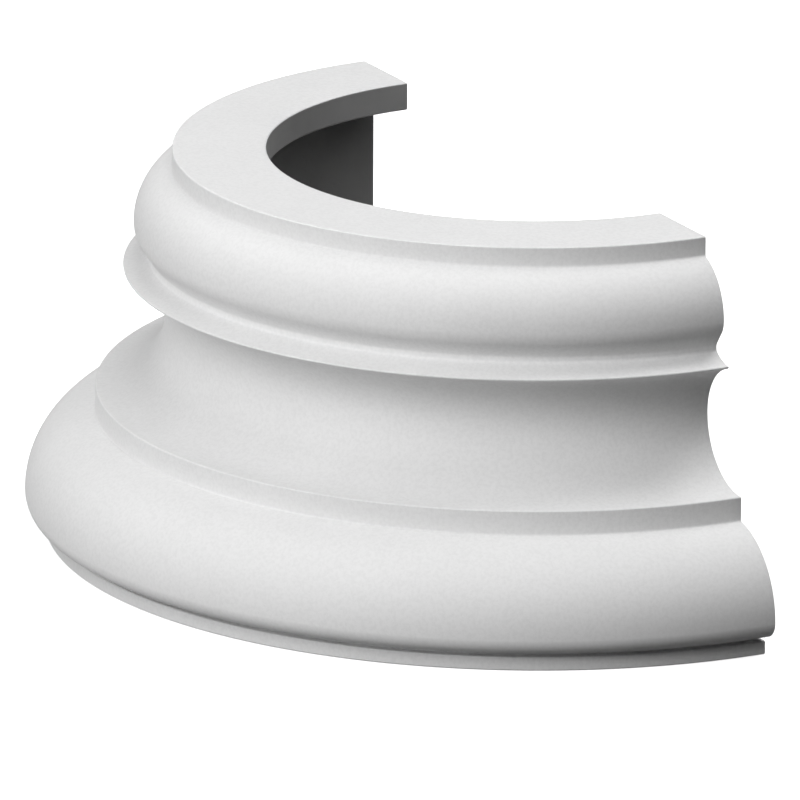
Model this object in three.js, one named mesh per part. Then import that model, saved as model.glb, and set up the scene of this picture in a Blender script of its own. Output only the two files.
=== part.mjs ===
// Half column base: a half-round moulded ring that closes around one side of a column shaft.
// Millimetres, Z up. The round side faces -Y, the flat open back faces +Y and the underside is at z = 0.
// The axis of the column lies in the plane of the flat back.

import * as THREE from "three";
import { mergeGeometries, mergeVertices } from "three/addons/utils/BufferGeometryUtils.js";

// Shaft that the base carries: its outside is flush with the top fillet
const SHAFT_RADIUS = 150;

// Heights of the mouldings, from the top down
const TOP_FILLET_HEIGHT = 8.2;
const UPPER_TORUS_HEIGHT = 29.5;
const UPPER_UNDERCUT_HEIGHT = 5.8;
const SMALL_FILLET_HEIGHT = 2.3;
const FLARE_HEIGHT = 4.1;
const LIP_EDGE_HEIGHT = 1;
const SCOTIA_HEIGHT = 51.4;
const LOWER_FILLET_HEIGHT = 10.3;
const LOWER_TORUS_HEIGHT = 43;
const QUIRK_HEIGHT = 2.3;
const BOTTOM_FILLET_HEIGHT = 5.8;

// How far each moulding stands out beyond the shaft
const UPPER_TORUS_PROJECTION = 16;
const SMALL_FILLET_PROJECTION = 10;
const LIP_PROJECTION = 20.4;
const SCOTIA_PROJECTION = 3.1;
const LOWER_FILLET_PROJECTION = 32.1;
const LOWER_TORUS_PROJECTION = 61.7;
const BOTTOM_FILLET_PROJECTION = 53.4;

// Where a torus is widest and the scotia narrowest, as a share of its height measured from its top
const UPPER_TORUS_BELLY = 0.81;
const SCOTIA_NECK = 0.44;
const LOWER_TORUS_BELLY = 0.83;

// How far the round of each torus comes in again below its widest radius, before its straight underside
const UPPER_TORUS_TUCK = 1.8;
const LOWER_TORUS_TUCK = 7.2;

// Depth of the narrow groove above the bottom fillet, measured from the face of that fillet
const QUIRK_DEPTH = 4;

// How far the small flare above the lip bends in from a straight line
const FLARE_HOLLOW = 0.9;

// Hollow side: wall left behind the neck of the scotia, and the plate that reaches in over the hollow
const NECK_WALL = 11.9;
const PLATE_THICKNESS = 12;
const PLATE_REACH = 30.5;

// Smoothness of the curves
const HALF_TURN_STEPS = 60;
const ARC_STEP_DEGREES = 9;
const FLARE_STEPS = 5;

// Levels above the underside, each one stacked on the moulding below it
const LOWER_TORUS_FOOT = BOTTOM_FILLET_HEIGHT + QUIRK_HEIGHT;
const LOWER_FILLET_FOOT = LOWER_TORUS_FOOT + LOWER_TORUS_HEIGHT;
const SCOTIA_FOOT = LOWER_FILLET_FOOT + LOWER_FILLET_HEIGHT;
const LIP_UNDERSIDE = SCOTIA_FOOT + SCOTIA_HEIGHT;
const LIP_TOP = LIP_UNDERSIDE + LIP_EDGE_HEIGHT;
const SMALL_FILLET_FOOT = LIP_TOP + FLARE_HEIGHT;
const UPPER_UNDERCUT_FOOT = SMALL_FILLET_FOOT + SMALL_FILLET_HEIGHT;
const UPPER_TORUS_FOOT = UPPER_UNDERCUT_FOOT + UPPER_UNDERCUT_HEIGHT;
const TOP_FILLET_FOOT = UPPER_TORUS_FOOT + UPPER_TORUS_HEIGHT;
const HEIGHT = TOP_FILLET_FOOT + TOP_FILLET_HEIGHT;
const PLATE_UNDERSIDE = HEIGHT - PLATE_THICKNESS;

// Radii from the axis of the column
const UPPER_TORUS_RADIUS = SHAFT_RADIUS + UPPER_TORUS_PROJECTION;
const UPPER_UNDERCUT_RADIUS = UPPER_TORUS_RADIUS - UPPER_TORUS_TUCK;
const SMALL_FILLET_RADIUS = SHAFT_RADIUS + SMALL_FILLET_PROJECTION;
const LIP_RADIUS = SHAFT_RADIUS + LIP_PROJECTION;
const NECK_RADIUS = SHAFT_RADIUS + SCOTIA_PROJECTION;
const LOWER_FILLET_RADIUS = SHAFT_RADIUS + LOWER_FILLET_PROJECTION;
const LOWER_TORUS_RADIUS = SHAFT_RADIUS + LOWER_TORUS_PROJECTION;
const LOWER_UNDERSIDE_RADIUS = LOWER_TORUS_RADIUS - LOWER_TORUS_TUCK;
const BOTTOM_FILLET_RADIUS = SHAFT_RADIUS + BOTTOM_FILLET_PROJECTION;
const QUIRK_RADIUS = BOTTOM_FILLET_RADIUS - QUIRK_DEPTH;
const HOLLOW_RADIUS = NECK_RADIUS - NECK_WALL;
const HOLE_RADIUS = HOLLOW_RADIUS - PLATE_REACH;

// One arc of the section between a corner and the level where the curve stands upright at its
// widest or narrowest radius. The points run from the upright end to the corner.
function arcPoints(corner, radius, level) {
  const across = radius - corner.x;
  const rise = corner.y - level;
  const bend = (across * across + rise * rise) / (2 * across);
  const centre = radius - bend;
  const size = Math.abs(bend);
  const sweep = Math.atan2(rise / size, (corner.x - centre) / bend);
  const stepAngle = THREE.MathUtils.degToRad(ARC_STEP_DEGREES);
  const steps = Math.max(2, Math.ceil(Math.abs(sweep) / stepAngle));
  const points = [];
  for (let i = 0; i < steps; i += 1) {
    const angle = (sweep * i) / steps;
    points.push(new THREE.Vector2(centre + bend * Math.cos(angle), level + size * Math.sin(angle)));
  }
  points.push(corner);
  return points;
}

// A swelling or a hollow between two corners: two arcs that meet upright at the given radius.
// The points run from the top corner down to the foot.
function bow(top, foot, radius, share) {
  const level = top.y - (top.y - foot.y) * share;
  const upper = arcPoints(top, radius, level).reverse();
  const lower = arcPoints(foot, radius, level);
  return upper.concat(lower.slice(1));
}

// The small flare from the fillet out to the sharp lip: a shallow arc, hollow above
function flare() {
  const start = new THREE.Vector2(SMALL_FILLET_RADIUS, SMALL_FILLET_FOOT);
  const end = new THREE.Vector2(LIP_RADIUS, LIP_TOP);
  const chord = end.clone().sub(start);
  const inward = new THREE.Vector2(chord.y, -chord.x).normalize();
  const points = [];
  for (let i = 0; i <= FLARE_STEPS; i += 1) {
    const share = i / FLARE_STEPS;
    const hollow = FLARE_HOLLOW * 4 * share * (1 - share);
    points.push(start.clone().addScaledVector(chord, share).addScaledVector(inward, hollow));
  }
  return points;
}

// The closed section of the ring, as radius and level: down the outside, then up the hollow side
function sectionPoints() {
  const upperTorus = bow(
    new THREE.Vector2(SHAFT_RADIUS, TOP_FILLET_FOOT),
    new THREE.Vector2(UPPER_UNDERCUT_RADIUS, UPPER_TORUS_FOOT),
    UPPER_TORUS_RADIUS,
    UPPER_TORUS_BELLY,
  );
  const scotia = bow(
    new THREE.Vector2(LIP_RADIUS, LIP_UNDERSIDE),
    new THREE.Vector2(LOWER_FILLET_RADIUS, SCOTIA_FOOT),
    NECK_RADIUS,
    SCOTIA_NECK,
  );
  const lowerTorus = bow(
    new THREE.Vector2(LOWER_FILLET_RADIUS, LOWER_FILLET_FOOT),
    new THREE.Vector2(LOWER_UNDERSIDE_RADIUS, LOWER_TORUS_FOOT),
    LOWER_TORUS_RADIUS,
    LOWER_TORUS_BELLY,
  );
  return [
    new THREE.Vector2(SHAFT_RADIUS, HEIGHT),
    ...upperTorus,
    new THREE.Vector2(SMALL_FILLET_RADIUS, UPPER_UNDERCUT_FOOT),
    ...flare(),
    ...scotia,
    ...lowerTorus,
    new THREE.Vector2(QUIRK_RADIUS, LOWER_TORUS_FOOT),
    new THREE.Vector2(QUIRK_RADIUS, BOTTOM_FILLET_HEIGHT),
    new THREE.Vector2(BOTTOM_FILLET_RADIUS, BOTTOM_FILLET_HEIGHT),
    new THREE.Vector2(BOTTOM_FILLET_RADIUS, 0),
    new THREE.Vector2(HOLLOW_RADIUS, 0),
    new THREE.Vector2(HOLLOW_RADIUS, PLATE_UNDERSIDE),
    new THREE.Vector2(HOLE_RADIUS, PLATE_UNDERSIDE),
    new THREE.Vector2(HOLE_RADIUS, HEIGHT),
  ];
}

// Keeps only the positions, so that shared corners can be joined
function bare(geometry) {
  geometry.deleteAttribute("normal");
  geometry.deleteAttribute("uv");
  return geometry;
}

// The flat face that closes one end of the half turn: side is 1 for the end at +X, -1 for -X
function endFace(points, side) {
  const face = bare(new THREE.ShapeGeometry(new THREE.Shape(points)));
  const position = face.getAttribute("position");
  for (let i = 0; i < position.count; i += 1) {
    position.setXYZ(i, side * position.getX(i), 0, position.getY(i));
  }
  if (side > 0) {
    const index = face.getIndex();
    for (let i = 0; i < index.count; i += 3) {
      const second = index.getX(i + 1);
      index.setX(i + 1, index.getX(i + 2));
      index.setX(i + 2, second);
    }
  }
  return face;
}

// The ring: the section swung through half a turn and closed by its two end faces.
// The swung skin faces outwards when the outside of the section is listed from the foot up.
function halfRing() {
  const points = sectionPoints();
  const closed = [...points, points[0]].reverse();
  const swung = bare(new THREE.LatheGeometry(closed, HALF_TURN_STEPS, -Math.PI / 2, Math.PI));
  swung.rotateX(Math.PI / 2);
  const joined = mergeGeometries([swung, endFace(points, 1), endFace(points, -1)]);
  const solid = mergeVertices(joined, 0.001);
  solid.translate(0, LOWER_TORUS_RADIUS / 2, 0);
  return solid;
}

const primedWhite = new THREE.MeshStandardMaterial({
  name: "primed_white",
  color: 0xf1f0ee,
  roughness: 0.75,
  metalness: 0,
  flatShading: true,
});

const base = new THREE.Mesh(halfRing(), primedWhite);
base.name = "half_column_base";

const part = new THREE.Group();
part.add(base);

export default part;
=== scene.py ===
import math

import bmesh
import bpy
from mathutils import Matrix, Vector


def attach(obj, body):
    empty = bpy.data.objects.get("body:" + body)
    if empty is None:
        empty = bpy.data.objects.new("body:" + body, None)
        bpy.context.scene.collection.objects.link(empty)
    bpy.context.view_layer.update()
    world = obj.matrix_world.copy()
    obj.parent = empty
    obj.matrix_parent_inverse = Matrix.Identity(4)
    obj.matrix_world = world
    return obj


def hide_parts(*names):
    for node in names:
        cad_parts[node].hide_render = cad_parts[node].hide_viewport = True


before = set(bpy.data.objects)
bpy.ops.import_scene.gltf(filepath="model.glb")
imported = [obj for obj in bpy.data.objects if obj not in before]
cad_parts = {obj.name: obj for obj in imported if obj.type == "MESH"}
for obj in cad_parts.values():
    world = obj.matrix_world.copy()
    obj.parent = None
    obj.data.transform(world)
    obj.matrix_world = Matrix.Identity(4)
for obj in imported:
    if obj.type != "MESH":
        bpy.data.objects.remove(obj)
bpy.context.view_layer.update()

MM = 0.001

# Half column base, from the ground up, in millimetres

# Radii from the column's axis
SHAFT = 150.0
UPPER_TORUS = 166.0
UPPER_UNDERCUT = 164.2
SMALL_FILLET = 160.0
LIP = 170.4
NECK = 153.1
LOWER_FILLET = 182.1
LOWER_TORUS = 211.7
LOWER_TORUS_UNDERSIDE = 204.5
QUIRK = 199.4
BOTTOM_FILLET = 203.4
HOLLOW = 141.2
HOLE = 110.7

# Levels above the underside
TOP = 163.7
PLATE_UNDERSIDE = 151.7
TOP_FILLET_FOOT = 155.5
UPPER_TORUS_FOOT = 126.0
UPPER_UNDERCUT_FOOT = 120.2
SMALL_FILLET_FOOT = 117.9
LIP_TOP = 113.8
LIP_UNDERSIDE = 112.8
SCOTIA_FOOT = 61.4
LOWER_FILLET_FOOT = 51.1
LOWER_TORUS_FOOT = 8.1
BOTTOM_FILLET_TOP = 5.8

# Level where each curve is widest or narrowest, as a share of its height from its top
UPPER_TORUS_BELLY = 0.81
SCOTIA_NECK = 0.44
LOWER_TORUS_BELLY = 0.83

# How far the small flare above the lip bends in from a straight line
FLARE_HOLLOW = 0.9

# Softness of the moulded edges
ARRIS = 0.7
LIP_ARRIS = 0.45
END_ARRIS = 0.5
ARRIS_STEPS = 4

ARC_STEP = math.radians(3.0)
HALF_TURN_STEPS = 180
END_ARRIS_STEPS = 3
SHARP_FROM = math.radians(40.0)

# Points nearer than this are joined, in the drawn section and after the half turn
SECTION_WELD = 0.01
TURN_WELD = 0.001

# A face nearer than this to the plane of the back lies in it
FLUSH = 0.01
AXIS = Vector((0.0, LOWER_TORUS / 2 * MM, 0.0))
DOWN = (0.0, 0.0, -1.0)


# Camera: the photograph's viewing angle, found from the circles in the picture

def place_camera():
    data = bpy.data.cameras.new("photo_camera")
    data.sensor_width = 36.0
    data.lens = 640.7
    camera = bpy.data.objects.new("photo_camera", data)
    camera.location = (5.01946, -2.61212, 1.7878)
    camera.rotation_euler = [math.radians(a) for a in (73.0945, -0.2501, 62.1876)]
    bpy.context.scene.collection.objects.link(camera)
    bpy.context.scene.camera = camera


# Section of the moulding: one closed wire, drawn point by point in the plane through the axis

class Outline:
    def __init__(self, radius, level):
        self.mesh = bmesh.new()
        self.first = self.mesh.verts.new((radius * MM, 0.0, level * MM))
        self.last = self.first
        self.corners = {}

    def here(self):
        return self.last.co.x / MM, self.last.co.z / MM

    def corner(self, size=ARRIS):
        self.corners.setdefault(size, []).append(self.last)

    def line(self, radius, level):
        drawn = bmesh.ops.extrude_vert_indiv(self.mesh, verts=[self.last])
        self.last = drawn["verts"][0]
        self.last.co = (radius * MM, 0.0, level * MM)

    def arc(self, centre, angle):
        drawn = bmesh.ops.spin(
            self.mesh,
            geom=[self.last],
            cent=(centre[0] * MM, 0.0, centre[1] * MM),
            axis=(0.0, -1.0, 0.0),
            angle=angle,
            steps=max(3, math.ceil(abs(angle) / ARC_STEP)),
            use_duplicate=False,
        )
        self.last = [v for v in drawn["geom_last"] if isinstance(v, bmesh.types.BMVert)][0]

    def shallow_arc(self, end, hollow):
        """A slightly hollow line to the end: its middle lies below the straight line by hollow."""
        start = Vector(self.here())
        chord = Vector(end) - start
        half = chord.length / 2
        radius = (half * half + hollow * hollow) / (2 * hollow)
        normal = Vector((-chord.y, chord.x)).normalized()
        centre = start + chord / 2 + normal * (radius - hollow)
        self.arc(centre, 2 * math.asin(half / radius))

    def bow(self, foot, radius, share):
        """A swelling or a hollow down to the foot: two arcs that meet upright at the radius."""
        top = self.here()
        level = top[1] - (top[1] - foot[1]) * share
        for corner, leaving in ((top, True), (foot, False)):
            across = radius - corner[0]
            rise = corner[1] - level
            bend = (across * across + rise * rise) / (2 * across)
            sweep = math.atan2(rise / bend, (corner[0] - radius + bend) / bend)
            self.arc((radius - bend, level), -sweep if leaving else sweep)

    def close(self):
        """Joins the wire to its start, fills it and rounds its marked corners."""
        mesh = self.mesh
        mesh.edges.new((self.last, self.first))
        bmesh.ops.remove_doubles(mesh, verts=mesh.verts, dist=SECTION_WELD * MM)
        bmesh.ops.edgeloop_fill(mesh, edges=mesh.edges)
        for size, verts in self.corners.items():
            bmesh.ops.bevel(
                mesh,
                geom=[v for v in verts if v.is_valid],
                offset=size * MM,
                segments=ARRIS_STEPS,
                profile=0.5,
                affect="VERTICES",
                material=-1,
            )
        return mesh


def draw_section():
    section = Outline(SHAFT, TOP)
    section.corner()
    section.line(SHAFT, TOP_FILLET_FOOT)
    section.corner()
    section.bow((UPPER_UNDERCUT, UPPER_TORUS_FOOT), UPPER_TORUS, UPPER_TORUS_BELLY)
    section.line(SMALL_FILLET, UPPER_UNDERCUT_FOOT)
    section.corner()
    section.line(SMALL_FILLET, SMALL_FILLET_FOOT)
    section.corner()
    section.shallow_arc((LIP, LIP_TOP), FLARE_HOLLOW)
    section.corner(LIP_ARRIS)
    section.line(LIP, LIP_UNDERSIDE)
    section.corner(LIP_ARRIS)
    section.bow((LOWER_FILLET, SCOTIA_FOOT), NECK, SCOTIA_NECK)
    section.corner()
    section.line(LOWER_FILLET, LOWER_FILLET_FOOT)
    section.corner()
    section.bow((LOWER_TORUS_UNDERSIDE, LOWER_TORUS_FOOT), LOWER_TORUS, LOWER_TORUS_BELLY)
    section.line(QUIRK, LOWER_TORUS_FOOT)
    section.line(QUIRK, BOTTOM_FILLET_TOP)
    for radius, level in (
        (BOTTOM_FILLET, BOTTOM_FILLET_TOP),
        (BOTTOM_FILLET, 0.0),
        (HOLLOW, 0.0),
        (HOLLOW, PLATE_UNDERSIDE),
        (HOLE, PLATE_UNDERSIDE),
        (HOLE, TOP),
    ):
        section.line(radius, level)
        section.corner()
    return section.close()


# Casting: the section swung through half a turn

def is_end(face):
    """True for the two faces that show the whole section: the only ones with many corners."""
    return len(face.verts) > 20 and abs(face.calc_center_median().y) < FLUSH * MM


def is_back(face):
    """True for the sides that are turned to the wall, the post and the floor."""
    centre = face.calc_center_median()
    radius = math.hypot(centre.x, centre.y) / MM
    level = centre.z / MM
    in_hollow = radius < HOLLOW + 0.1 and level < PLATE_UNDERSIDE + 0.1
    return is_end(face) or in_hollow or radius < HOLE + 0.1 or level < 0.1


def swing_half_turn(mesh):
    bmesh.ops.spin(
        mesh,
        geom=mesh.faces[:] + mesh.edges[:] + mesh.verts[:],
        cent=(0.0, 0.0, 0.0),
        axis=DOWN,
        angle=math.pi,
        steps=HALF_TURN_STEPS,
        use_duplicate=False,
    )
    bmesh.ops.remove_doubles(mesh, verts=mesh.verts, dist=TURN_WELD * MM)
    bmesh.ops.recalc_face_normals(mesh, faces=mesh.faces)


def soften_ends(mesh):
    edges = [edge for edge in mesh.edges if any(is_end(face) for face in edge.link_faces)]
    bmesh.ops.bevel(
        mesh,
        geom=edges,
        offset=END_ARRIS * MM,
        segments=END_ARRIS_STEPS,
        profile=0.5,
        affect="EDGES",
        material=-1,
    )


def make_casting(face_finish, back_foam_and_painted_shade):
    mesh = draw_section()
    swing_half_turn(mesh)
    for face in mesh.faces:
        face.smooth = True
        # The back sides get the grey foam, whose darkness is partly painted shade
        face.material_index = 1 if is_back(face) else 0
    soften_ends(mesh)
    bmesh.ops.translate(mesh, verts=mesh.verts, vec=AXIS)
    data = bpy.data.meshes.new("half_base_casting")
    mesh.to_mesh(data)
    mesh.free()
    data.set_sharp_from_angle(angle=SHARP_FROM)
    data.materials.append(face_finish)
    data.materials.append(back_foam_and_painted_shade)
    casting = bpy.data.objects.new("half_base_casting", data)
    bpy.context.scene.collection.objects.link(casting)
    flats = casting.modifiers.new("even_flats", "WEIGHTED_NORMAL")
    flats.keep_sharp = True
    return casting


# Materials

def linear(hex_colour):
    """An sRGB hex value as linear colour with full alpha."""
    channels = [int(hex_colour[i:i + 2], 16) / 255 for i in (1, 3, 5)]
    bright = [c / 12.92 if c <= 0.04045 else ((c + 0.055) / 1.055) ** 2.4 for c in channels]
    return (*bright, 1.0)


def add(tree, kind, values=None, links=None, **settings):
    """One node: its settings, its unlinked values and the outputs that feed it."""
    node = tree.nodes.new(kind)
    for name, value in settings.items():
        setattr(node, name, value)
    for name, value in (values or {}).items():
        node.inputs[name].default_value = value
    for name, source in (links or {}).items():
        tree.links.new(source, node.inputs[name])
    return node


def per_metre(size_mm):
    """Noise scale on Object coordinates for a grain of this size."""
    return 1.0 / (size_mm * MM)


def colour_ramp(tree, factor, stops):
    ramp = add(tree, "ShaderNodeValToRGB", links={"Fac": factor})
    points = ramp.color_ramp.elements
    for i, (place, hex_colour) in enumerate(stops):
        point = points[i] if i < 2 else points.new(place)
        point.position = place
        point.color = linear(hex_colour)
    return ramp.outputs["Color"]


def sprayed_matt_primer():
    """Matt white primer sprayed on moulded rigid polyurethane: an even chalky white that keeps
    every soft change of light, with a hardly visible grain of spray and no clear highlight."""
    material = bpy.data.materials.new("sprayed_matt_white_primer")
    material.use_nodes = True
    tree = material.node_tree
    tree.nodes.clear()
    place = add(tree, "ShaderNodeTexCoord").outputs["Object"]
    # Cloudy thickness of the coat, in patches of about 45 mm
    cloud = add(
        tree,
        "ShaderNodeTexNoise",
        {"Scale": per_metre(45), "Detail": 3.0, "Roughness": 0.5},
        {"Vector": place},
    )
    # Grain of the spray, drawn at 1.6 mm, which is coarser than the real 0.3 mm, so that it shows
    grain = add(
        tree,
        "ShaderNodeTexNoise",
        {"Scale": per_metre(1.6), "Detail": 2.0, "Roughness": 0.6},
        {"Vector": place},
    )
    # Slight unevenness of the moulded skin, about 22 mm from crest to crest
    skin = add(
        tree,
        "ShaderNodeTexNoise",
        {"Scale": per_metre(22), "Detail": 1.0, "Roughness": 0.4},
        {"Vector": place},
    )
    tone = colour_ramp(tree, cloud.outputs["Fac"], ((0.3, "#E8E8E8"), (0.7, "#EBEBEB")))
    speck = colour_ramp(tree, grain.outputs["Fac"], ((0.35, "#F9F9F9"), (0.6, "#FFFFFF")))
    colour = add(tree, "ShaderNodeMix", data_type="RGBA", blend_type="MULTIPLY")
    colour.inputs[0].default_value = 1.0
    tree.links.new(tone, colour.inputs[6])
    tree.links.new(speck, colour.inputs[7])
    rough = add(
        tree,
        "ShaderNodeMapRange",
        {"From Min": 0.3, "From Max": 0.7, "To Min": 0.62, "To Max": 0.74},
        {"Value": grain.outputs["Fac"]},
    )
    broad = add(
        tree, "ShaderNodeBump", {"Strength": 0.15, "Distance": 0.3 * MM}, {"Height": skin.outputs["Fac"]}
    )
    fine = add(
        tree,
        "ShaderNodeBump",
        {"Strength": 0.12, "Distance": 0.05 * MM},
        {"Height": grain.outputs["Fac"], "Normal": broad.outputs["Normal"]},
    )
    shader = add(
        tree,
        "ShaderNodeBsdfPrincipled",
        {"IOR": 1.5, "Metallic": 0.0, "Specular IOR Level": 0.35},
        {
            "Base Color": colour.outputs[2],
            "Roughness": rough.outputs["Result"],
            "Normal": fine.outputs["Normal"],
        },
    )
    add(tree, "ShaderNodeOutputMaterial", links={"Surface": shader.outputs["BSDF"]})
    return material


def foam_with_painted_shade():
    """Bare skin of rigid polyurethane foam as it leaves the mould, on the sides nobody sees: a
    dull grey next to the primer, partly the foam's own tone and partly painted shade that darkens
    the back sides, the hollow and the hole's edge among them, with shallow pits where bubbles met the
    mould."""
    material = bpy.data.materials.new("painted_shade_foam_skin")
    material.use_nodes = True
    tree = material.node_tree
    tree.nodes.clear()
    place = add(tree, "ShaderNodeTexCoord").outputs["Object"]
    cloud = add(
        tree,
        "ShaderNodeTexNoise",
        {"Scale": per_metre(30), "Detail": 4.0, "Roughness": 0.55},
        {"Vector": place},
    )
    # Bubble pits about 3 mm apart and 0.15 mm deep
    pits = add(tree, "ShaderNodeTexVoronoi", {"Scale": per_metre(3.0)}, {"Vector": place})
    dip = add(
        tree,
        "ShaderNodeMapRange",
        {"From Min": 0.0, "From Max": 0.28, "To Min": 0.0, "To Max": 1.0},
        {"Value": pits.outputs["Distance"]},
    )
    # The grey is partly the bare foam's tone and partly painted shade, set darker to stand in for the
    # shadow in the hollow
    tone = colour_ramp(tree, cloud.outputs["Fac"], ((0.3, "#9E9E9E"), (0.7, "#A9A9A9")))
    bump = add(
        tree, "ShaderNodeBump", {"Strength": 0.35, "Distance": 0.15 * MM}, {"Height": dip.outputs["Result"]}
    )
    shader = add(
        tree,
        "ShaderNodeBsdfPrincipled",
        {"IOR": 1.5, "Metallic": 0.0, "Roughness": 0.8, "Specular IOR Level": 0.25},
        {"Base Color": tone, "Normal": bump.outputs["Normal"]},
    )
    add(tree, "ShaderNodeOutputMaterial", links={"Surface": shader.outputs["BSDF"]})
    return material


def studio_paper():
    """Matt white background paper: it only has to be pale and even."""
    material = bpy.data.materials.new("matt_studio_paper")
    material.use_nodes = True
    shader = material.node_tree.nodes["Principled BSDF"]
    shader.inputs["Base Color"].default_value = linear("#F7F7F7")
    shader.inputs["Roughness"].default_value = 0.95
    shader.inputs["Specular IOR Level"].default_value = 0.0
    shader.inputs["Emission Color"].default_value = (1.0, 1.0, 1.0, 1.0)
    shader.inputs["Emission Strength"].default_value = 0.7
    return material


# Studio

FLOOR_HALF_WIDTH = 15.0
FLOOR_GAP = 0.1
LIT_POINT = Vector((0.0, 0.0, 0.08))


def lay_floor():
    mesh = bmesh.new()
    bmesh.ops.create_grid(mesh, x_segments=1, y_segments=1, size=FLOOR_HALF_WIDTH)
    # A hair below the underside, so that the two faces don't lie in one plane
    bmesh.ops.translate(mesh, verts=mesh.verts, vec=(0.0, 0.0, -FLOOR_GAP * MM))
    data = bpy.data.meshes.new("studio_floor")
    mesh.to_mesh(data)
    mesh.free()
    data.materials.append(studio_paper())
    floor = bpy.data.objects.new("studio_floor", data)
    floor.visible_diffuse = False
    bpy.context.scene.collection.objects.link(floor)


def hang_softbox(name, place, size, power):
    """A round soft light that faces the middle of the part."""
    data = bpy.data.lights.new(name, "AREA")
    data.shape = "DISK"
    data.size = size
    data.energy = power
    light = bpy.data.objects.new(name, data)
    light.location = place
    light.rotation_euler = (LIT_POINT - Vector(place)).to_track_quat("-Z", "Y").to_euler()
    bpy.context.scene.collection.objects.link(light)


def set_room_light(strength):
    world = bpy.data.worlds.new("dim_studio_room")
    world.use_nodes = True
    room = world.node_tree.nodes["Background"]
    room.inputs["Color"].default_value = (1.0, 1.0, 1.0, 1.0)
    room.inputs["Strength"].default_value = strength
    bpy.context.scene.world = world


place_camera()
casting = make_casting(sprayed_matt_primer(), foam_with_painted_shade())
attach(casting, "root")
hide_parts("half_column_base")

lay_floor()
hang_softbox("key_softbox", (1.2, -1.96, 2.01), 1.6, 38.0)
hang_softbox("low_left_softbox", (0.07, -2.94, 0.65), 1.0, 37.0)
hang_softbox("right_softbox", (2.3, 0.06, 2.01), 1.6, 9.0)
hang_softbox("top_softbox", (0.09, -0.05, 3.08), 1.6, 23.5)
hang_softbox("far_right_softbox", (-0.04, 1.5, 2.68), 1.6, 29.0)
hang_softbox("back_softbox", (-1.32, 0.72, 2.68), 1.6, 11.0)
set_room_light(0.0)
bpy.context.scene.view_settings.view_transform = "Standard"
